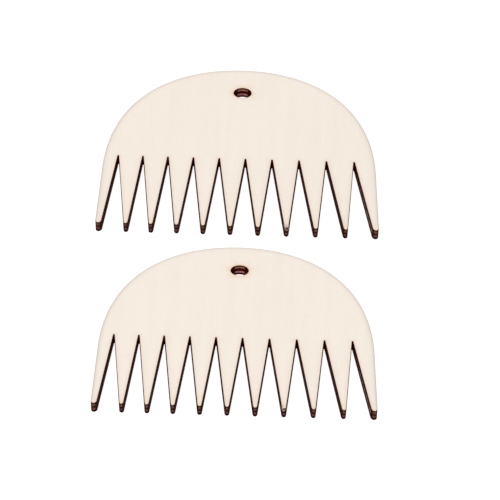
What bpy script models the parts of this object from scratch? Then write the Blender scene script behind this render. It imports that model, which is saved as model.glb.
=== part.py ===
"""A pair of flat weaving combs, each cut from three-ply board.

The two combs are alike and lie flat on the table, one behind the other, with
their teeth towards the viewer.  Each has a domed back with a round hanging
hole, and eleven tapered teeth between ten V-shaped notches.  A comb is three
veneers of one outline, glued face to face.

Units are metres, with +Z up.  +Y runs from the teeth to the domes, and the
origin is under the middle of the pair, on the table.
"""
import math

import bpy
from mathutils import Vector
from mathutils.geometry import interpolate_bezier

MM = 0.001

# Board: three veneers of equal thickness with a glue line between neighbours.
BOARD_THICKNESS = 3.0 * MM
GLUE_LINE = 0.3 * MM
VENEERS = ("back_veneer", "core_veneer", "face_veneer")
VENEER_THICKNESS = (BOARD_THICKNESS - (len(VENEERS) - 1) * GLUE_LINE) / len(VENEERS)

# Comb outline, measured from the middle of the row of tooth tips.
COMB_HEIGHT = 79.0 * MM
TIP_ROW_HALF_WIDTH = 40.4 * MM
SIDE_HEIGHT = 28.0 * MM           # straight stretch at each side of the comb
SIDE_LEAN = 0.047                 # how far a side moves inwards as it rises
SHOULDER_PULL = 35.7 * MM         # handle lengths of the curve that forms the
CROWN_PULL = 19.9 * MM            # dome, at its foot and at its top
DOME_STEPS = 28                   # flats on each half of the dome

# Notches and teeth, with places across the comb from its middle.  In each row
# a space is a little wider than the one to its left.
NOTCH_COUNT = 10
NOTCH_DEPTH = 34.0 * MM
NOTCH_ROOT_WIDTH = 0.1 * MM       # left by the width of the cut
FIRST_NOTCH = -34.6 * MM
LAST_NOTCH = 32.7 * MM
NOTCH_WIDENING = 0.11 * MM        # from one space to the next
FIRST_INNER_TIP = -31.7 * MM
LAST_INNER_TIP = 30.9 * MM
TIP_WIDENING = 0.2 * MM           # from one space to the next
INNER_TIP_WIDTH = 1.4 * MM
OUTER_TIP_WIDTH = 1.9 * MM
TIP_STEPS = 5                     # flats round each tooth tip

# Hanging hole below the top of the dome.
HOLE_RADIUS = 2.4 * MM
HOLE_DROP = 11.6 * MM
HOLE_SIDE = 0.15 * MM             # to the right of the middle
HOLE_STEPS = 32

# Where the combs lie: a gap between them, and a small step sideways.
PAIR_GAP = 10.2 * MM
SIDE_STEP = 1.1 * MM
COMBS = {
    "rear_comb": Vector((-SIDE_STEP / 2, PAIR_GAP / 2, 0.0)),
    "front_comb": Vector((SIDE_STEP / 2, -PAIR_GAP / 2 - COMB_HEIGHT, 0.0)),
}

# Linear base colours of the veneers: pale basswood, with a browner core.
VENEER_COLOURS = {
    "back_veneer": (0.84, 0.74, 0.62, 1.0),
    "core_veneer": (0.46, 0.29, 0.18, 1.0),
    "face_veneer": (0.90, 0.82, 0.73, 1.0),
}
WOOD_ROUGHNESS = 0.62


def clear_scene():
    for obj in list(bpy.data.objects):
        bpy.data.objects.remove(obj, do_unlink=True)


def new_collection(name):
    collection = bpy.data.collections.new(name)
    bpy.context.scene.collection.children.link(collection)
    return collection


def wood_material(name, colour):
    material = bpy.data.materials.new(name)
    material.use_nodes = True
    shader = material.node_tree.nodes["Principled BSDF"]
    shader.inputs["Base Color"].default_value = colour
    shader.inputs["Roughness"].default_value = WOOD_ROUGHNESS
    shader.inputs["Metallic"].default_value = 0.0
    return material


def widening_row(first, last, count, widening):
    """Places from first to last whose spaces grow evenly from left to right."""
    spaces = count - 1
    even = (last - first) / spaces
    return [
        first + number * even - widening * number * (spaces - number) / 2
        for number in range(count)
    ]


def tip_curve(start, start_top, end, end_top):
    """Round tooth tip from one edge of the tooth to the other.

    Each edge runs straight down from its top, and the curve carries on in the
    edge's direction before it turns across the tip.
    """
    pull = (end - start).length * 2 / 3
    leave = (start - start_top).normalized() * pull
    arrive = (end - end_top).normalized() * pull
    return interpolate_bezier(start, start + leave, end + arrive, end, TIP_STEPS + 1)


def teeth_outline(left_side, right_side):
    """Edges of all the teeth, from the comb's left side to its right side."""
    half_root = Vector((NOTCH_ROOT_WIDTH / 2, 0.0))
    notches = widening_row(FIRST_NOTCH, LAST_NOTCH, NOTCH_COUNT, NOTCH_WIDENING)
    roots = [Vector((x, NOTCH_DEPTH)) for x in notches]
    inner = widening_row(FIRST_INNER_TIP, LAST_INNER_TIP, NOTCH_COUNT - 1, TIP_WIDENING)
    outer_tip = TIP_ROW_HALF_WIDTH - OUTER_TIP_WIDTH / 2
    tips = (-outer_tip, *inner, outer_tip)
    points = []
    for number, tip in enumerate(tips):
        left_top = roots[number - 1] + half_root if number > 0 else left_side
        right_top = roots[number] - half_root if number < len(roots) else right_side
        outer = number in (0, len(tips) - 1)
        half = (OUTER_TIP_WIDTH if outer else INNER_TIP_WIDTH) / 2
        start = Vector((tip - half, half))
        end = Vector((tip + half, half))
        points += tip_curve(start, left_top, end, right_top)
        if number < len(roots):
            points += (right_top, roots[number] + half_root)
    return points


def dome_half(side, shoulder):
    """Half of the dome, from the top of a straight side to the crown."""
    crown = Vector((0.0, COMB_HEIGHT))
    rise = Vector((-side * SIDE_LEAN, 1.0)).normalized()
    out = Vector((side, 0.0))
    return interpolate_bezier(
        shoulder,
        shoulder + rise * SHOULDER_PULL,
        crown + out * CROWN_PULL,
        crown,
        DOME_STEPS + 1,
    )


def comb_outline():
    """Closed outline: teeth from left to right, then back over the dome."""
    shoulder_x = TIP_ROW_HALF_WIDTH - SIDE_LEAN * SIDE_HEIGHT
    left = Vector((-shoulder_x, SIDE_HEIGHT))
    right = Vector((shoulder_x, SIDE_HEIGHT))
    right_half = dome_half(1, right)
    left_half = dome_half(-1, left)
    left_half.reverse()
    return teeth_outline(left, right) + right_half + left_half[1:]


def hole_outline():
    centre = Vector((HOLE_SIDE, COMB_HEIGHT - HOLE_DROP))
    turn = math.tau / HOLE_STEPS
    return [
        centre + HOLE_RADIUS * Vector((math.cos(step * turn), math.sin(step * turn)))
        for step in range(HOLE_STEPS)
    ]


def add_closed_spline(curve, points):
    spline = curve.splines.new("POLY")
    spline.points.add(len(points) - 1)
    for point, place in zip(spline.points, points):
        point.co = (place.x, place.y, 0.0, 1.0)
    spline.use_cyclic_u = True


def add_veneer(collection, name, place, material):
    """One veneer: the comb's outline with its hole, filled and thickened."""
    curve = bpy.data.curves.new(name, "CURVE")
    curve.dimensions = "2D"
    curve.fill_mode = "BOTH"
    curve.extrude = VENEER_THICKNESS / 2
    add_closed_spline(curve, comb_outline())
    add_closed_spline(curve, hole_outline())
    curve.materials.append(material)
    veneer = bpy.data.objects.new(name, curve)
    veneer.location = place
    collection.objects.link(veneer)
    return veneer


def add_comb(collection, comb_name, place):
    """Stack the comb's veneers from the table up, under one empty."""
    comb = bpy.data.objects.new(comb_name, None)
    comb.location = place
    collection.objects.link(comb)
    for layer, veneer_name in enumerate(VENEERS):
        name = f"{comb_name}_{veneer_name}"
        middle = VENEER_THICKNESS / 2 + layer * (VENEER_THICKNESS + GLUE_LINE)
        material = wood_material(f"{name}_wood", VENEER_COLOURS[veneer_name])
        veneer = add_veneer(collection, name, Vector((0.0, 0.0, middle)), material)
        veneer.parent = comb


def main():
    clear_scene()
    collection = new_collection("weaving_comb_pair")
    for comb_name, place in COMBS.items():
        add_comb(collection, comb_name, place)


main()
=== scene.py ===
"""Looks of a pair of laser-cut plywood weaving combs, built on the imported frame.

Lengths in the outline and in the materials are in millimetres, and become
metres where the meshes are made.  Each comb is three veneers: back, core and
face, from the table up.
"""

import math

import bpy
from mathutils import Matrix, Vector, noise
from mathutils.geometry import delaunay_2d_cdt, interpolate_bezier
from mathutils.kdtree import KDTree


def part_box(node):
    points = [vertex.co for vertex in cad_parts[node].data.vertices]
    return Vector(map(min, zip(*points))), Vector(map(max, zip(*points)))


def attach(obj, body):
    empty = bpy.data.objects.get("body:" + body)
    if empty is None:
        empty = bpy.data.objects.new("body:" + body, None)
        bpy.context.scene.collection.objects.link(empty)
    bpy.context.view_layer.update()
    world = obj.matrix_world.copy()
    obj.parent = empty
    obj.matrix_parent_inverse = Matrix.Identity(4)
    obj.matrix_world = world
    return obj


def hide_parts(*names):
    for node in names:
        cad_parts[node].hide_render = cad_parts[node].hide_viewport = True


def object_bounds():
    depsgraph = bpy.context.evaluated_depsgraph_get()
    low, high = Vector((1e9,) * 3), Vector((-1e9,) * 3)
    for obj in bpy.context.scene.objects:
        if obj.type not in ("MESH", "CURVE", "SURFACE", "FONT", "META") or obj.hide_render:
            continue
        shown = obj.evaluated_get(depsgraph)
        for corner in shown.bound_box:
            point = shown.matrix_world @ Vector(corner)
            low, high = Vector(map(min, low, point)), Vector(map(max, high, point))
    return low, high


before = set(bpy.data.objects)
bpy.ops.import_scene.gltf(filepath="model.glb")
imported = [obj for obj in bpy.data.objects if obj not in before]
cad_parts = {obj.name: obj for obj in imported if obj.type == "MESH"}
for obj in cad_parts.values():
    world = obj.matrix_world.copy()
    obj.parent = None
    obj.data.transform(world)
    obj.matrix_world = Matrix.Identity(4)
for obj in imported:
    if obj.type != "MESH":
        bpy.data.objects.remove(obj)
cad_bounds = [list(corner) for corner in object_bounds()]

MM = 0.001

# Comb outline, from the middle of the row of tooth tips (as in the CAD).
COMB_HEIGHT = 79.0
TIP_ROW_HALF_WIDTH = 40.4
SIDE_HEIGHT = 28.0            # straight stretch at each side of the comb
SIDE_LEAN = 0.047             # how far a side moves inwards as it rises
SHOULDER_PULL = 35.7          # handle lengths of the curve that forms the
CROWN_PULL = 19.9             # dome, at its foot and at its top
NOTCH_COUNT = 10
NOTCH_DEPTH = 34.0
NOTCH_ROOT_WIDTH = 0.1
FIRST_NOTCH = -34.6
LAST_NOTCH = 32.7
NOTCH_WIDENING = 0.11         # how much each space is wider than the one to its left
FIRST_INNER_TIP = -31.7
LAST_INNER_TIP = 30.9
TIP_WIDENING = 0.2            # the same for the spaces between the inner tips
INNER_TIP_WIDTH = 1.4
OUTER_TIP_WIDTH = 1.9
TIP_LENGTH = 1.45             # length of a tooth's round end, in half widths of the tip
HOLE_RADIUS = 2.4
HOLE_SIDE = 0.15              # to the right of the middle
HOLE_DROP = 11.6              # below the top of the dome
HOLE_CENTRE = Vector((HOLE_SIDE, COMB_HEIGHT - HOLE_DROP))

# Sampling of the cut edge and of the faces.
EDGE_STEP = 0.2
TIP_FLATS = 14
ROOT_FLATS = 6
HALF_DOME_LENGTH = 70.0       # about; it sets the number of flats
HOLE_FLATS = 84
FACE_GRID = 0.5
GRID_JITTER = 0.25            # how far a grid point may stray, in grid steps
JITTER_SEED = 1               # unseeded, this noise would differ from run to run
JITTER_ACROSS = 0.37          # from one point to the next in the noise that moves it
JITTER_UP = 0.53
JITTER_LAYER = 7.1
CLEAR_OF_EDGE = 0.3
POINT_MERGE = 1e-7
INSIDE_ONLY = 1               # triangles inside the outline are kept
HOLE_MARGIN = 0.999           # triangles with their middle nearer than this are the hole's

# The board and its three plies, from the table up.
BOARD = 3.0
PLIES = ("back", "core", "face")
PLY = BOARD / len(PLIES)

# The cut edge of the board.
ARRIS = 0.09                  # rounding of the cut's upper edge
FOOT_ARRIS = 0.03             # rounding of its lower edge
ARRIS_BEND = 0.3              # where the rounding bends, as a share of its size
ARRIS_SHARE = {"dome": 0.5, "side": 0.5}
JOINT_GROOVE = 0.035          # how far the edge draws in at a glue line
GROOVE_WIDTH = 0.06
MIDDLE_RINGS = (0.3, 0.5, 0.7)    # shares of a ply's height
CUT_TAPER = 0.07              # the cut is this much wider at the top face
CUT_LEAN = 0.0048             # going down, the cut leans towards one line up the comb,
LEAN_LINE = 6.5               # which stands this far right of its middle
CUT_CLEARANCE = 0.02          # keeps the cut inside the outline
STREAK_DEPTH = 0.035          # laser streaks down the cut edge
STREAKS = (                   # waves along the cut, waves down it, seed shift, share
    (1.9, 0.25, 0.0, 0.6),
    (0.7, 0.6, 40.0, 0.4),
)
HOLE_SEED_SHIFT = 10          # gives the hole streaks of its own
TOOTH_TONE_STEP = 3.7         # far enough apart for neighbours to differ in tone

# How strongly each stretch of the cut scorches the face beside it (heat) and
# how clearly its plies show through the char (bare).
HEAT = {"tip": 0.95, "flank": 0.45, "root": 0.4, "dome": 0.12, "side": 0.15, "hole": 0.9}
BARE = {"tip": 1.0, "flank": 0.03, "root": 0.0, "dome": 0.8, "side": 0.7, "hole": 1.0}
# Painted light and shade: at tips and in the hole, the plies are painted clear where the cut
# faces along the teeth, towards the lamp and camera, and black where it turns aside.
BARE_FACING_PAINTED_LIGHT = {"tip": (0.60, 0.84), "hole": (0.76, 0.92)}   # turned aside, it stays black
HOT_TOOTH_END = 7.0           # the lower part of a tooth scorches more,
TOOTH_END_HEAT = 0.45         # by this much at its tip
CORE_LINE_GROWTH = 1.6        # the core's line is full 1 / 1.6 of the way down a notch


# ---------------------------------------------------------------- outline
def widening_row(first, last, count, widening):
    """Places from first to last whose spaces grow evenly from left to right."""
    spaces = count - 1
    even = (last - first) / spaces
    return [
        first + number * even - widening * number * (spaces - number) / 2
        for number in range(count)
    ]


INNER_TIPS = widening_row(FIRST_INNER_TIP, LAST_INNER_TIP, NOTCH_COUNT - 1, TIP_WIDENING)

# Round one tip the char is knocked about in specks.
WORN_TOOTH = 7                # counted from the left, the outer tooth being 0
WORN_TIP = Vector((INNER_TIPS[WORN_TOOTH - 1], INNER_TIP_WIDTH / 2))
WORN_REACH = 2.4


def line(start, end):
    """Points from start up to, and without, end."""
    count = max(1, round((end - start).length / EDGE_STEP))
    return [start.lerp(end, number / count) for number in range(count)]


def curve(start, start_pull, end, end_pull, count):
    """Points of a Bezier curve, without its end."""
    return interpolate_bezier(start, start + start_pull, end + end_pull, end, count + 1)[:-1]


def round_pull(reach):
    """Handle of a curve that rounds off an end, from half the end's width."""
    return reach * 4 / 3


class Tooth:
    """The two edges of a tooth, and the ends of the round tip between them."""

    def __init__(self, tip, width, left_top, right_top):
        half = width / 2
        start = Vector((tip - half, half))
        end = Vector((tip + half, half))
        rise = (TIP_LENGTH - 1) * half
        self.left_top = left_top
        self.right_top = right_top
        self.down = (start - left_top).normalized()
        self.up = (right_top - end).normalized()
        self.start = start - self.down * rise
        self.end = end + self.up * rise
        self.pull = round_pull(TIP_LENGTH * half)


def row_of_teeth(left_side, right_side):
    """All the teeth, between the tops of the comb's two straight sides."""
    half_root = Vector((NOTCH_ROOT_WIDTH / 2, 0.0))
    notches = widening_row(FIRST_NOTCH, LAST_NOTCH, NOTCH_COUNT, NOTCH_WIDENING)
    roots = [Vector((x, NOTCH_DEPTH)) for x in notches]
    left_tops = [left_side, *(root + half_root for root in roots)]
    right_tops = [*(root - half_root for root in roots), right_side]
    outer_tip = TIP_ROW_HALF_WIDTH - OUTER_TIP_WIDTH / 2
    tips = (-outer_tip, *INNER_TIPS, outer_tip)
    widths = (OUTER_TIP_WIDTH, *(INNER_TIP_WIDTH for _ in INNER_TIPS), OUTER_TIP_WIDTH)
    return [Tooth(*measures) for measures in zip(tips, widths, left_tops, right_tops)]


def cut_path():
    """The comb's outline as (point, kind, tooth) from the left tooth round."""
    right_side = Vector((TIP_ROW_HALF_WIDTH - SIDE_LEAN * SIDE_HEIGHT, SIDE_HEIGHT))
    left_side = Vector((-right_side.x, right_side.y))
    teeth = row_of_teeth(left_side, right_side)
    bend = NOTCH_ROOT_WIDTH / 2
    path = []

    def add(points, kind, tooth):
        path.extend((point, kind, tooth) for point in points)

    for number, tooth in enumerate(teeth):
        if number > 0:
            add(line(tooth.left_top + tooth.down * bend, tooth.start), "flank", number)
        pulls = (tooth.down * tooth.pull, -tooth.up * tooth.pull)
        add(curve(tooth.start, pulls[0], tooth.end, pulls[1], TIP_FLATS), "tip", number)
        if number == len(teeth) - 1:
            add(line(tooth.end, right_side), "side", number)
            continue
        neighbour = teeth[number + 1]
        root_start = tooth.right_top - tooth.up * bend
        root_end = neighbour.left_top + neighbour.down * bend
        pulls = (round_pull(tooth.up * bend), round_pull(-neighbour.down * bend))
        add(line(tooth.end, root_start), "flank", number)
        add(curve(root_start, pulls[0], root_end, pulls[1], ROOT_FLATS), "root", number)
    crown = Vector((0.0, COMB_HEIGHT))
    crown_pull = Vector((CROWN_PULL, 0.0))
    right_pull = Vector((-SIDE_LEAN, 1.0)).normalized() * SHOULDER_PULL
    left_pull = Vector((SIDE_LEAN, 1.0)).normalized() * SHOULDER_PULL
    flats = round(HALF_DOME_LENGTH / EDGE_STEP)
    add(curve(right_side, right_pull, crown, crown_pull, flats), "dome", 0)
    add(curve(crown, -crown_pull, left_side, left_pull, flats), "dome", 0)
    add(line(left_side, path[0][0]), "side", 0)
    return path


def hole_path():
    """The hole as (point, kind, tooth), the other way round from the outline."""
    path = []
    for step in range(HOLE_FLATS):
        angle = -math.tau * step / HOLE_FLATS
        arm = Vector((math.cos(angle), math.sin(angle)))
        path.append((HOLE_CENTRE + HOLE_RADIUS * arm, "hole", 0))
    return path


class Loop:
    """A closed cut edge: its points, kinds and teeth, outward normals and run."""

    def __init__(self, path):
        self.points, self.kinds, self.teeth = zip(*path)
        self.normals = []
        self.run = []
        total = 0.0
        for index, point in enumerate(self.points):
            before = self.points[index - 1]
            after = self.points[(index + 1) % len(path)]
            along = (after - before).normalized()
            self.normals.append(Vector((along.y, -along.x)))
            self.run.append(total)
            total += (after - point).length


def heat_at(loop, index):
    """How strongly the cut scorches: flanks more towards the tooth's end."""
    kind = loop.kinds[index]
    heat = HEAT[kind]
    if kind == "flank":
        heat += TOOTH_END_HEAT * max(0.0, 1.0 - loop.points[index].y / HOT_TOOTH_END)
    return heat


def bare_at(loop, index):
    """How clearly the plies show: most where the cut faces up or down a tooth, which is painted
    light, and black where a tip or the hole turns aside, which is painted shade.
    """
    kind = loop.kinds[index]
    if kind not in BARE_FACING_PAINTED_LIGHT:
        return BARE[kind]
    # Painted shade: a cut that turns aside from the lamp and camera is painted black.
    aside, facing = BARE_FACING_PAINTED_LIGHT[kind]
    share = (abs(loop.normals[index].y) - aside) / (facing - aside)
    return BARE[kind] * min(max(share, 0.0), 1.0)


def core_line_at(loop, index):
    """How clearly the core shows as one line: only inside the outer right tooth."""
    if loop.kinds[index] != "flank" or loop.teeth[index] != NOTCH_COUNT:
        return 0.0
    return min(1.0, CORE_LINE_GROWTH * (1.0 - loop.points[index].y / NOTCH_DEPTH))


def deep_at(loop, index):
    """How deep in a notch the cut is: 0 up to half way, and 1 at the root."""
    if loop.kinds[index] not in ("flank", "root"):
        return 0.0
    return max(0.0, 2.0 * loop.points[index].y / NOTCH_DEPTH - 1.0)


def worn_at(place, ply):
    """How much the char or the wood is worn: only the face veneer, at one tip."""
    if ply != "face":
        return 0.0
    return max(0.0, 1.0 - (place - WORN_TIP).length / WORN_REACH)


class Template:
    """Flat plan of a comb, shared by every veneer: loops and face triangles.

    Its points are those of the loops, then a grid inside them.  depth is a
    point's distance from the cut, and heat is the heat of the cut nearest it.
    """

    def __init__(self):
        self.loops = [Loop(cut_path()), Loop(hole_path())]
        spots = [(loop, index) for loop in self.loops for index in range(len(loop.points))]
        edge = [loop.points[index] for loop, index in spots]
        self.edge_count = len(edge)
        self.bare = [bare_at(loop, index) for loop, index in spots]
        self.heat = [heat_at(loop, index) for loop, index in spots]
        self.depth = [0.0] * self.edge_count
        self.points = edge + self.add_grid(edge)
        self.fine = self.triangles(self.points)
        self.coarse = self.triangles(edge)
        self.drop_unused()

    def add_grid(self, edge):
        """Points inside and round the comb, with their depth and heat."""
        tree = KDTree(self.edge_count)
        for index, point in enumerate(edge):
            tree.insert(point.to_3d(), index)
        tree.balance()
        noise.seed_set(JITTER_SEED)
        grid = []
        for row in range(int(COMB_HEIGHT / FACE_GRID) + 1):
            shift = FACE_GRID / 2 if row % 2 else 0.0
            for column in range(int(2 * TIP_ROW_HALF_WIDTH / FACE_GRID) + 1):
                key = Vector((column * JITTER_ACROSS, row * JITTER_UP, JITTER_LAYER))
                jitter = noise.noise_vector(key) * FACE_GRID * GRID_JITTER
                place = Vector((
                    -TIP_ROW_HALF_WIDTH + column * FACE_GRID + shift + jitter.x,
                    row * FACE_GRID + jitter.y,
                ))
                _, nearest, distance = tree.find(place.to_3d())
                if distance >= CLEAR_OF_EDGE:
                    grid.append(place)
                    self.depth.append(distance)
                    self.heat.append(self.heat[nearest])
        return grid

    def drop_unused(self):
        """Leave out the grid points that lie off the comb."""
        used = {index for triangle in self.fine for index in triangle}
        used.update(range(self.edge_count))
        kept = sorted(used)
        new_index = {old: new for new, old in enumerate(kept)}
        self.fine = [tuple(new_index[index] for index in triangle) for triangle in self.fine]
        self.points = [self.points[index] for index in kept]
        self.depth = [self.depth[index] for index in kept]
        self.heat = [self.heat[index] for index in kept]

    def triangles(self, points):
        """Triangles between the points, inside the outline and off the hole."""
        sides, first = [], 0
        for loop in self.loops:
            count = len(loop.points)
            sides += [(first + i, first + (i + 1) % count) for i in range(count)]
            first += count
        result = delaunay_2d_cdt(points, sides, [], INSIDE_ONLY, POINT_MERGE)
        origin = [entry[0] for entry in result[3]]
        triangles = [tuple(origin[corner] for corner in face) for face in result[2]]

        def in_hole(triangle):
            middle = sum((points[corner] for corner in triangle), Vector((0.0, 0.0))) / 3
            return (middle - HOLE_CENTRE).length <= HOLE_RADIUS * HOLE_MARGIN

        return [triangle for triangle in triangles if not in_hole(triangle)]


# ---------------------------------------------------------------- veneers
WOOD_SLOT, CHAR_SLOT = 0, 1
ATTRIBUTES = (
    "cut_depth", "cut_heat", "bare", "on_outline", "core_line", "deep", "run", "tone", "worn",
)
OFF_THE_CUT = {"bare": 0.0, "on_outline": 0.0, "core_line": 0.0, "deep": 0.0, "run": 0.0, "tone": 0.5}


def rounding(size):
    """(distance from the edge, draw-in) of the rings round one arris."""
    return [(0.0, size), (ARRIS_BEND * size, ARRIS_BEND * size), (size, 0.0)]


def ring_levels(ply):
    """(height, draw-in) of the rings down one veneer's cut edge."""
    low = PLIES.index(ply) * PLY
    high = low + PLY
    joint = [(0.0, JOINT_GROOVE), (GROOVE_WIDTH, 0.0)]
    bottom = rounding(FOOT_ARRIS) if ply == "back" else joint
    top = rounding(ARRIS) if ply == "face" else joint
    levels = [(low + up, inset) for up, inset in bottom]
    levels += [(low + share * (high - low), 0.0) for share in MIDDLE_RINGS]
    levels += [(high - down, inset) for down, inset in reversed(top)]
    return levels


def leaned(x, height):
    """Where a place across the comb's top face comes to lie at a height below it."""
    return x + CUT_LEAN * (LEAN_LINE - x) * (1.0 - height / BOARD)


def edge_draw_in(loop, index, height, inset, seed):
    """How far the cut edge stands inside the outline at one place."""
    run = loop.run[index]
    streak = sum(
        share * noise.noise(Vector((run * along, height * down, seed + shift)))
        for along, down, shift, share in STREAKS
    )
    depth = STREAK_DEPTH * (0.5 + 0.5 * streak)
    taper = CUT_TAPER * height / BOARD
    inset *= ARRIS_SHARE.get(loop.kinds[index], 1.0)
    return CUT_CLEARANCE + inset + depth + taper


class VeneerMesh:
    """Mesh of one veneer, with its cut edge and both faces."""

    def __init__(self, template, ply, seed, corner):
        self.template = template
        self.ply = ply
        self.seed = seed
        self.corner = corner
        self.levels = ring_levels(ply)
        self.vertices = []
        self.values = {name: [] for name in ATTRIBUTES}
        self.faces = []
        self.slots = []
        for height, inset in self.levels:
            self.add_ring(height, inset)
        self.add_walls()
        self.add_face(0, faces_up=False, seen=ply == "back")
        self.add_face(len(self.levels) - 1, faces_up=True, seen=ply == "face")

    def add_vertex(self, x, y, z, values):
        corner = self.corner
        self.vertices.append((corner.x + x * MM, corner.y + y * MM, corner.z + z * MM))
        for name, value in values.items():
            self.values[name].append(value)

    def add_ring(self, height, inset):
        """The cut edge's vertices at one height, loop after loop."""
        flat = 0
        for loop_number, loop in enumerate(self.template.loops):
            seed = self.seed + HOLE_SEED_SHIFT * loop_number
            for index, point in enumerate(loop.points):
                draw = edge_draw_in(loop, index, height, inset, seed)
                place = point - loop.normals[index] * draw
                tone_key = Vector((loop.teeth[index] * TOOTH_TONE_STEP, self.seed, loop_number))
                self.add_vertex(leaned(place.x, height), place.y, height, {
                    "cut_depth": 0.0,
                    "cut_heat": self.template.heat[flat],
                    "worn": worn_at(point, self.ply),
                    "bare": self.template.bare[flat],
                    "on_outline": float(loop.kinds[index] != "hole"),
                    "core_line": core_line_at(loop, index),
                    "deep": deep_at(loop, index),
                    "run": loop.run[index],
                    "tone": 0.5 + 0.5 * noise.noise(tone_key),
                })
                flat += 1

    def add_walls(self):
        """Quads between each ring and the next, loop after loop."""
        edge_count = self.template.edge_count
        for level in range(len(self.levels) - 1):
            first = level * edge_count
            for loop in self.template.loops:
                count = len(loop.points)
                for index in range(count):
                    a = first + index
                    b = first + (index + 1) % count
                    self.faces.append((a, b, b + edge_count, a + edge_count))
                    self.slots.append(CHAR_SLOT)
                first += count

    def add_face(self, level, faces_up, seen):
        """The flat at one end of the rings: fine where it is seen."""
        template = self.template
        edge_count = template.edge_count
        height = self.levels[level][0]
        vertex_of = list(range(level * edge_count, (level + 1) * edge_count))
        if seen:
            for index in range(edge_count, len(template.points)):
                point = template.points[index]
                vertex_of.append(len(self.vertices))
                self.add_vertex(leaned(point.x, height), point.y, height, {
                    "cut_depth": template.depth[index],
                    "cut_heat": template.heat[index],
                    "worn": worn_at(point, self.ply),
                    **OFF_THE_CUT,
                })
        for triangle in template.fine if seen else template.coarse:
            corners = tuple(vertex_of[index] for index in triangle)
            self.faces.append(corners if faces_up else corners[::-1])
            self.slots.append(WOOD_SLOT)

    def make_object(self, name):
        mesh = bpy.data.meshes.new(name)
        mesh.from_pydata(self.vertices, [], self.faces)
        for attribute, numbers in self.values.items():
            layer = mesh.attributes.new(attribute, "FLOAT", "POINT")
            layer.data.foreach_set("value", numbers)
        mesh.polygons.foreach_set("material_index", self.slots)
        mesh.update()
        piece = bpy.data.objects.new(name, mesh)
        bpy.context.scene.collection.objects.link(piece)
        return piece


# -------------------------------------------------------------- materials
class Nodes:
    """Short hand for building a node tree."""

    def __init__(self, name):
        self.material = bpy.data.materials.new(name)
        self.material.use_nodes = True
        self.tree = self.material.node_tree
        self.shader = self.tree.nodes["Principled BSDF"]

    def link(self, source, target):
        self.tree.links.new(source, target)

    def put(self, socket, value):
        if isinstance(value, bpy.types.NodeSocket):
            self.link(value, socket)
        else:
            socket.default_value = value

    def attribute(self, name):
        node = self.tree.nodes.new("ShaderNodeAttribute")
        node.attribute_name = name
        return node.outputs["Fac"]

    def place(self, shift):
        """Place on the object in millimetres, moved by shift."""
        source = self.tree.nodes.new("ShaderNodeTexCoord").outputs["Object"]
        return self.mapping(source, (1 / MM, 1 / MM, 1 / MM), shift)

    def split(self, vector):
        node = self.tree.nodes.new("ShaderNodeSeparateXYZ")
        self.link(vector, node.inputs[0])
        return node.outputs

    def join(self, x, y, z):
        node = self.tree.nodes.new("ShaderNodeCombineXYZ")
        for socket, value in zip(node.inputs, (x, y, z)):
            self.put(socket, value)
        return node.outputs[0]

    def math(self, operation, first, second=0.0, clamp=False):
        node = self.tree.nodes.new("ShaderNodeMath")
        node.operation = operation
        node.use_clamp = clamp
        self.put(node.inputs[0], first)
        self.put(node.inputs[1], second)
        return node.outputs[0]

    def noise(self, vector, settings):
        """Noise whose settings are its scale, detail and roughness."""
        node = self.tree.nodes.new("ShaderNodeTexNoise")
        self.link(vector, node.inputs["Vector"])
        for name, number in zip(("Scale", "Detail", "Roughness"), settings):
            node.inputs[name].default_value = number
        return node.outputs["Fac"]

    def mapping(self, vector, scale, shift=(0.0, 0.0, 0.0)):
        node = self.tree.nodes.new("ShaderNodeMapping")
        self.link(vector, node.inputs["Vector"])
        node.inputs["Scale"].default_value = scale
        node.inputs["Location"].default_value = shift
        return node.outputs[0]

    def span(self, value, source, target=(0.0, 1.0)):
        """Turn the range source of a value into the range target, and clamp it."""
        node = self.tree.nodes.new("ShaderNodeMapRange")
        self.link(value, node.inputs["Value"])
        names = ("From Min", "From Max", "To Min", "To Max")
        for name, number in zip(names, (*source, *target)):
            node.inputs[name].default_value = number
        return node.outputs["Result"]

    def bands(self, level, bands):
        """Colours by height, from a level that is a share of the board's height."""
        node = self.tree.nodes.new("ShaderNodeValToRGB")
        elements = node.color_ramp.elements
        while len(elements) < len(bands):
            elements.new(0.5)
        for element, (height, colour) in zip(elements, bands):
            element.position = height / BOARD
            element.color = (*colour, 1.0)
        self.link(level, node.inputs["Fac"])
        return node.outputs["Color"]

    def mix(self, factor, first, second):
        node = self.tree.nodes.new("ShaderNodeMix")
        node.data_type = "RGBA"
        node.clamp_factor = True
        for socket, value in ((0, factor), (6, first), (7, second)):
            if isinstance(value, tuple):
                value = (*value, 1.0)
            self.put(node.inputs[socket], value)
        return node.outputs[2]

    def bump(self, height, strength, distance):
        node = self.tree.nodes.new("ShaderNodeBump")
        self.link(height, node.inputs["Height"])
        node.inputs["Strength"].default_value = strength
        node.inputs["Distance"].default_value = distance
        self.link(node.outputs[0], self.shader.inputs["Normal"])


# Noises of the wood and the char, as (scale, detail, roughness).  A scale
# counts in millimetres across the grain or along the cut.
FIBRE = (3.2, 4.0, 0.6)
FIGURE = (0.32, 3.0, 0.5)
CLOUD = (0.05, 2.0, 0.5)
FLECK = (2.4, 1.0, 0.4)
PATCH = (0.55, 2.0, 0.5)
SPECK = (2.2, 1.0, 0.5)
FINE_STREAK = (3.4, 3.0, 0.6)
BROAD_STREAK = (0.5, 2.0, 0.5)

NOISE_RANGE = (0.3, 0.7)      # where most of a noise's values lie

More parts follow.
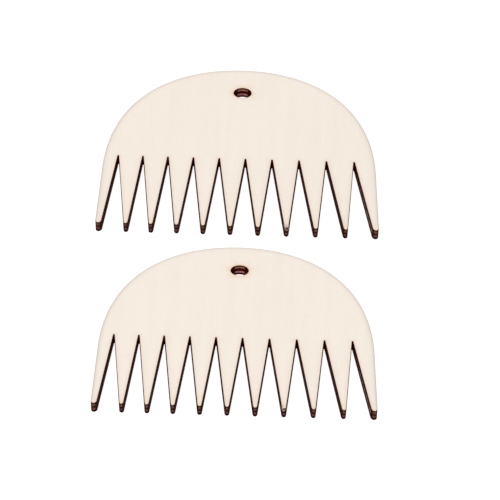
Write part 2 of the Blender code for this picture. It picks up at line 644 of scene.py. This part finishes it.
# Sanded basswood.
WOOD_SEED_SLANT = 0.7         # a seed moves the wood this much along its grain
FIBRE_STRETCH = 0.045         # the grain is this much slower along than across
GRAIN_SHARES = (0.45, 0.35, 0.2)    # of fibre, figure and cloud
GRAIN_RANGE = (0.36, 0.64)
FLECK_STRETCH = 0.16
FLECK_SHIFT = (31.0, 0.0, 0.0)
FLECK_RANGE = (0.70, 0.80)
FLECK_STRENGTH = 0.16
FLECK_SHADE = 0.72
FLECK_RELIEF = 0.5            # depth of a fleck, beside the relief of the fibre
WOOD_ROUGHNESS = (0.62, 0.74)
WOOD_SPECULAR = 0.3
WOOD_BUMP = (0.12, 0.00006)   # strength, and depth in metres
LEAST_SCORCH_REACH = 0.15
SCORCH_PATCHES = (0.25, 1.3)  # the scorch reaches less far, or further, by patches
SOOT = (0.200, 0.140, 0.105)
SOOT_REACH = 0.5
SOOT_HEAT = (0.15, 0.45)      # cool cuts, such as the dome's, and hot ones,
SOOT_DEPTH = (0.48, 0.16)     # and how much soot lies beside them
SPECK_RANGE = (0.50, 0.56)

# Each ply's wood: its colour, the colour of its darker grain, the colour of its
# scorch, the axis of its grain, how far the scorch reaches and how much it stains.
WOODS = {
    "back": ((0.780, 0.690, 0.585), (0.740, 0.640, 0.525), (0.420, 0.230, 0.110), "y", 0.8, 0.75),
    "core": ((0.560, 0.430, 0.310), (0.500, 0.370, 0.260), (0.420, 0.230, 0.110), "x", 0.3, 0.5),
    "face": ((0.836, 0.760, 0.680), (0.806, 0.722, 0.635), (0.800, 0.540, 0.340), "y", 1.1, 0.8),
}


def along_grain(axis, stretch):
    """Scale that draws a noise out along the grain."""
    return (1.0, stretch, 1.0) if axis == "y" else (stretch, 1.0, 1.0)


def specks(n, place):
    """Small specks of char, or of bare wood, where a tip is worn."""
    return n.span(n.noise(place, SPECK), SPECK_RANGE)


def wood_material(name, ply, seed):
    """Sanded basswood: fine grain, a few flecks, and scorch beside the cuts."""
    colour, deep, scorch, grain_axis, scorch_reach, stain = WOODS[ply]
    n = Nodes(name)
    place = n.place((seed, seed * WOOD_SEED_SLANT, 0.0))
    fibre_place = n.mapping(place, along_grain(grain_axis, FIBRE_STRETCH))
    fibre = n.noise(fibre_place, FIBRE)
    layers = (fibre, n.noise(fibre_place, FIGURE), n.noise(place, CLOUD))
    shares = [n.math("MULTIPLY", layer, share) for layer, share in zip(layers, GRAIN_SHARES)]
    grain = n.math("ADD", n.math("ADD", shares[0], shares[1]), shares[2])
    wood = n.mix(n.span(grain, GRAIN_RANGE), deep, colour)
    # Short pores that follow the grain.
    fleck_place = n.mapping(place, along_grain(grain_axis, FLECK_STRETCH), FLECK_SHIFT)
    fleck = n.span(n.noise(fleck_place, FLECK), FLECK_RANGE)
    fleck_colour = tuple(channel * FLECK_SHADE for channel in deep)
    wood = n.mix(n.math("MULTIPLY", fleck, FLECK_STRENGTH), wood, fleck_colour)
    # Scorch: strongest at the cut, gone within a millimetre or so.
    depth = n.attribute("cut_depth")
    heat = n.attribute("cut_heat")
    patch = n.span(n.noise(place, PATCH), NOISE_RANGE, SCORCH_PATCHES)
    reach = n.math("ADD", n.math("MULTIPLY", heat, scorch_reach), LEAST_SCORCH_REACH)
    reach = n.math("MULTIPLY", reach, patch)
    fall = n.math("EXPONENT", n.math("MULTIPLY", n.math("DIVIDE", depth, reach), -1.0))
    burn = n.math("MULTIPLY", fall, n.math("MULTIPLY", heat, stain), clamp=True)
    wood = n.mix(burn, wood, scorch)
    # Soot: a thin grey line along the cut.
    line_along_cut = n.math("EXPONENT", n.math("MULTIPLY", depth, -1.0 / SOOT_REACH))
    soot = n.math("MULTIPLY", line_along_cut, n.span(heat, SOOT_HEAT, SOOT_DEPTH))
    wood = n.mix(soot, wood, SOOT)
    wood = n.mix(n.math("MULTIPLY", n.attribute("worn"), specks(n, place)), wood, SOOT)
    n.link(wood, n.shader.inputs["Base Color"])
    n.link(n.span(fibre, NOISE_RANGE, WOOD_ROUGHNESS), n.shader.inputs["Roughness"])
    n.shader.inputs["Specular IOR Level"].default_value = WOOD_SPECULAR
    relief = n.math("SUBTRACT", fibre, n.math("MULTIPLY", fleck, FLECK_RELIEF))
    n.bump(relief, *WOOD_BUMP)
    return n.material


# Colours of the plies up the cut edge, as (height, colour): in the hole, where
# they show reddish and are painted brighter as painted light for the shaded hole, and round the
# outline, where they are darker.
HOLE_BANDS_PAINTED_LIGHT = (
    (0.00, (0.024, 0.003, 0.002)),
    (0.56, (0.040, 0.005, 0.003)),
    (0.72, (0.700, 0.260, 0.235)),
    (1.10, (0.640, 0.225, 0.200)),
    (1.24, (0.070, 0.006, 0.003)),
    (1.60, (0.030, 0.001, 0.001)),
    (1.88, (0.050, 0.002, 0.001)),
    (2.08, (0.340, 0.110, 0.070)),
    (2.48, (0.560, 0.255, 0.190)),
    (2.64, (0.070, 0.016, 0.006)),
    (3.00, (0.040, 0.008, 0.003)),
)
OUTLINE_BANDS = (
    (0.00, (0.020, 0.0025, 0.0015)),
    (0.62, (0.020, 0.0025, 0.0015)),
    (0.80, (0.150, 0.060, 0.050)),
    (1.26, (0.170, 0.070, 0.056)),
    (1.42, (0.034, 0.006, 0.003)),
    (1.84, (0.026, 0.003, 0.002)),
    (2.00, (0.150, 0.066, 0.048)),
    (2.48, (0.190, 0.096, 0.068)),
    (2.62, (0.110, 0.050, 0.030)),
    (2.78, (0.026, 0.007, 0.003)),
    (3.00, (0.070, 0.022, 0.007)),
)
PLY_WAVE = 0.24               # how far the plies wander up and down
STREAK_STRETCH = 0.18         # a streak is this much slower down the cut than along it
CHAR_DARK = (0.010, 0.0008, 0.0004)
CHAR_WARM = (0.034, 0.0026, 0.0010)
# Painted light: deep in a notch the char is painted lighter and redder, to make up for the shade
# there.
CHAR_DEEP_PAINTED_LIGHT = (0.085, 0.0040, 0.0016)    # deep in a notch, where little light comes
CORE_LINE = (0.15, 0.45)      # height off the board's middle where the line is full, and gone
CORE_LINE_WOOD = (0.24, 0.135, 0.100)
WORN_WOOD = (0.62, 0.50, 0.42)
BAND_STREAKS = (0.35, 0.65)   # the range of streaks that darken the plies,
BAND_SHADE = (0.0, 0.4)       # and by how much
DEEP_PAINTED_LIGHT_SHARE = (0.6, 1.0)       # deep in a notch, from streak to streak
TONE_RANGE = (0.2, 0.8)       # how far the plies' clearness differs
TONE_SHARE = (0.8, 1.2)       # from tooth to tooth,
BROAD_SHARE = (0.75, 1.15)    # and along the cut
CORE_BREAKS = (0.40, 0.60)    # the range of streaks that break up the core's line,
CORE_SHARE = (0.35, 1.0)      # and what they leave of it
CHAR_ROUGHNESS = (0.72, 0.9)
CHAR_SPECULAR = 0.02
CHAR_BUMP = (0.35, 0.00004)   # strength, and depth in metres


def char_material(name, seed):
    """Laser-cut edge: char in vertical streaks, with the plies showing through."""
    n = Nodes(name)
    place = n.place((seed, 0.0, 0.0))
    height = n.split(place)[2]
    streak_place = n.join(n.attribute("run"), n.math("MULTIPLY", height, STREAK_STRETCH), seed)
    fine = n.noise(streak_place, FINE_STREAK)
    broad = n.noise(streak_place, BROAD_STREAK)
    wave = n.math("MULTIPLY", n.math("SUBTRACT", broad, 0.5), PLY_WAVE)
    waved = n.math("ADD", height, wave)
    level = n.math("DIVIDE", waved, BOARD)
    on_outline = n.attribute("on_outline")
    # The hole's bands are painted light: brighter than the outline's, to make up for the shade
    # inside the hole.
    bands = n.mix(on_outline, n.bands(level, HOLE_BANDS_PAINTED_LIGHT), n.bands(level, OUTLINE_BANDS))
    bands = n.mix(n.span(fine, BAND_STREAKS, BAND_SHADE), bands, CHAR_DARK)
    char = n.mix(n.span(fine, NOISE_RANGE), CHAR_DARK, CHAR_WARM)
    # Painted light deep in a notch, where the char lies in shade.
    deep = n.math("MULTIPLY", n.attribute("deep"), n.span(fine, NOISE_RANGE, DEEP_PAINTED_LIGHT_SHARE))
    char = n.mix(deep, char, CHAR_DEEP_PAINTED_LIGHT)
    tone = n.span(n.attribute("tone"), TONE_RANGE, TONE_SHARE)
    bare = n.math("MULTIPLY", n.attribute("bare"), tone)
    bare = n.math("MULTIPLY", bare, n.span(broad, NOISE_RANGE, BROAD_SHARE), clamp=True)
    edge = n.mix(bare, char, bands)
    # The core's line, broken up along the cut.
    off_middle = n.math("ABSOLUTE", n.math("SUBTRACT", waved, BOARD / 2))
    core = n.math("MULTIPLY", n.span(off_middle, CORE_LINE, (1.0, 0.0)), n.attribute("core_line"))
    core = n.math("MULTIPLY", core, n.span(broad, CORE_BREAKS, CORE_SHARE))
    edge = n.mix(core, edge, CORE_LINE_WOOD)
    worn = n.math("MULTIPLY", specks(n, place), n.attribute("worn"))
    n.link(n.mix(worn, edge, WORN_WOOD), n.shader.inputs["Base Color"])
    n.link(n.span(fine, NOISE_RANGE, CHAR_ROUGHNESS), n.shader.inputs["Roughness"])
    n.shader.inputs["Specular IOR Level"].default_value = CHAR_SPECULAR
    n.bump(fine, *CHAR_BUMP)
    return n.material


# --------------------------------------------------------------- assembly
COMB_SEEDS = {"rear_comb": 3.0, "front_comb": 57.0}
WOOD_SEED_STEP = 11           # from one ply to the next

template = Template()
for comb, seed in COMB_SEEDS.items():
    low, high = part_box(f"{comb}_back_veneer")
    corner = Vector(((low[0] + high[0]) / 2, high[1] - COMB_HEIGHT * MM, low[2]))
    char = char_material(f"{comb}_cut_edge", seed)
    for number, ply in enumerate(PLIES):
        veneer = VeneerMesh(template, ply, seed + number, corner)
        piece = veneer.make_object(f"{comb}_{ply}")
        wood = wood_material(f"{comb}_{ply}_wood", ply, seed + WOOD_SEED_STEP * number)
        piece.data.materials.append(wood)
        piece.data.materials.append(char)
        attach(piece, comb)
        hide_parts(f"{comb}_{ply}_veneer")


# ------------------------------------------------------------------ stage
FLOOR_HALF = 3.0              # metres, like everything in this section
FLOOR_DROP = 0.00002          # keeps the floor off the undersides
FLOOR_GREY = (0.18, 0.18, 0.18, 1.0)
FLOOR_ROUGHNESS = 0.9
WHITE = (1.0, 1.0, 1.0, 1.0)
FLOOR_GLOW = 0.94
ROOM_GLOW = 0.93
KEY_PLACE = (-0.7, -0.5, 1.3)
KEY_SIZE = 1.0
KEY_WATTS = 6.0

CAMERA_ELEVATION = 34.69      # degrees
CAMERA_AZIMUTH = -0.38
CAMERA_ROLL = 1.47
CAMERA_TARGET = Vector((0.00337, -0.00200, -0.0015))    # from the middle of the pair
LENS = 1600.0                 # millimetres, like the sensor
SENSOR = 36.0
VIEW_WIDTH = 0.1419           # what the picture takes in at the target
CLIP_START = 0.1
CLIP_END = 30.0


def stage_floor():
    """A floor that glows like a light table."""
    half = FLOOR_HALF
    mesh = bpy.data.meshes.new("floor")
    mesh.from_pydata(
        [(-half, -half, 0.0), (half, -half, 0.0), (half, half, 0.0), (-half, half, 0.0)],
        [], [(0, 1, 2, 3)],
    )
    floor = bpy.data.objects.new("floor", mesh)
    floor.location.z = -FLOOR_DROP
    bpy.context.scene.collection.objects.link(floor)
    n = Nodes("light_table")
    n.shader.inputs["Base Color"].default_value = FLOOR_GREY
    n.shader.inputs["Roughness"].default_value = FLOOR_ROUGHNESS
    n.shader.inputs["Specular IOR Level"].default_value = 0.0
    n.shader.inputs["Emission Color"].default_value = WHITE
    n.shader.inputs["Emission Strength"].default_value = FLOOR_GLOW
    mesh.materials.append(n.material)


def stage_light():
    """A white room, and one soft lamp from the left and above."""
    world = bpy.data.worlds.new("studio")
    world.use_nodes = True
    background = world.node_tree.nodes["Background"]
    background.inputs["Color"].default_value = WHITE
    background.inputs["Strength"].default_value = ROOM_GLOW
    bpy.context.scene.world = world
    data = bpy.data.lights.new("key", "AREA")
    data.shape = "DISK"
    data.size = KEY_SIZE
    data.energy = KEY_WATTS
    lamp = bpy.data.objects.new("key", data)
    lamp.location = KEY_PLACE
    lamp.rotation_euler = (-Vector(KEY_PLACE)).to_track_quat("-Z", "Y").to_euler()
    lamp.visible_camera = False
    bpy.context.scene.collection.objects.link(lamp)
    bpy.context.scene.view_settings.view_transform = "Standard"


def stage_camera():
    """Long lens, about 35 degrees above the table, a little left and rolled."""
    elevation = math.radians(CAMERA_ELEVATION)
    azimuth = math.radians(CAMERA_AZIMUTH)
    roll = math.radians(CAMERA_ROLL)
    low, high = (Vector(corner) for corner in cad_bounds)
    target = (low + high) / 2 + CAMERA_TARGET
    forward = Vector((
        math.sin(azimuth) * math.cos(elevation),
        math.cos(azimuth) * math.cos(elevation),
        -math.sin(elevation),
    ))
    right = Vector((math.cos(azimuth), -math.sin(azimuth), 0.0))
    up = right.cross(forward)
    tilted_right = math.cos(roll) * right + math.sin(roll) * up
    tilted_up = -math.sin(roll) * right + math.cos(roll) * up
    data = bpy.data.cameras.new("camera")
    data.sensor_width = SENSOR
    data.lens = LENS
    data.clip_start = CLIP_START
    data.clip_end = CLIP_END
    camera = bpy.data.objects.new("camera", data)
    axes = Matrix((tilted_right, tilted_up, -forward)).transposed().to_4x4()
    distance = VIEW_WIDTH * LENS / SENSOR
    camera.matrix_world = Matrix.Translation(target - forward * distance) @ axes
    bpy.context.scene.collection.objects.link(camera)
    bpy.context.scene.camera = camera


stage_floor()
stage_light()
stage_camera()
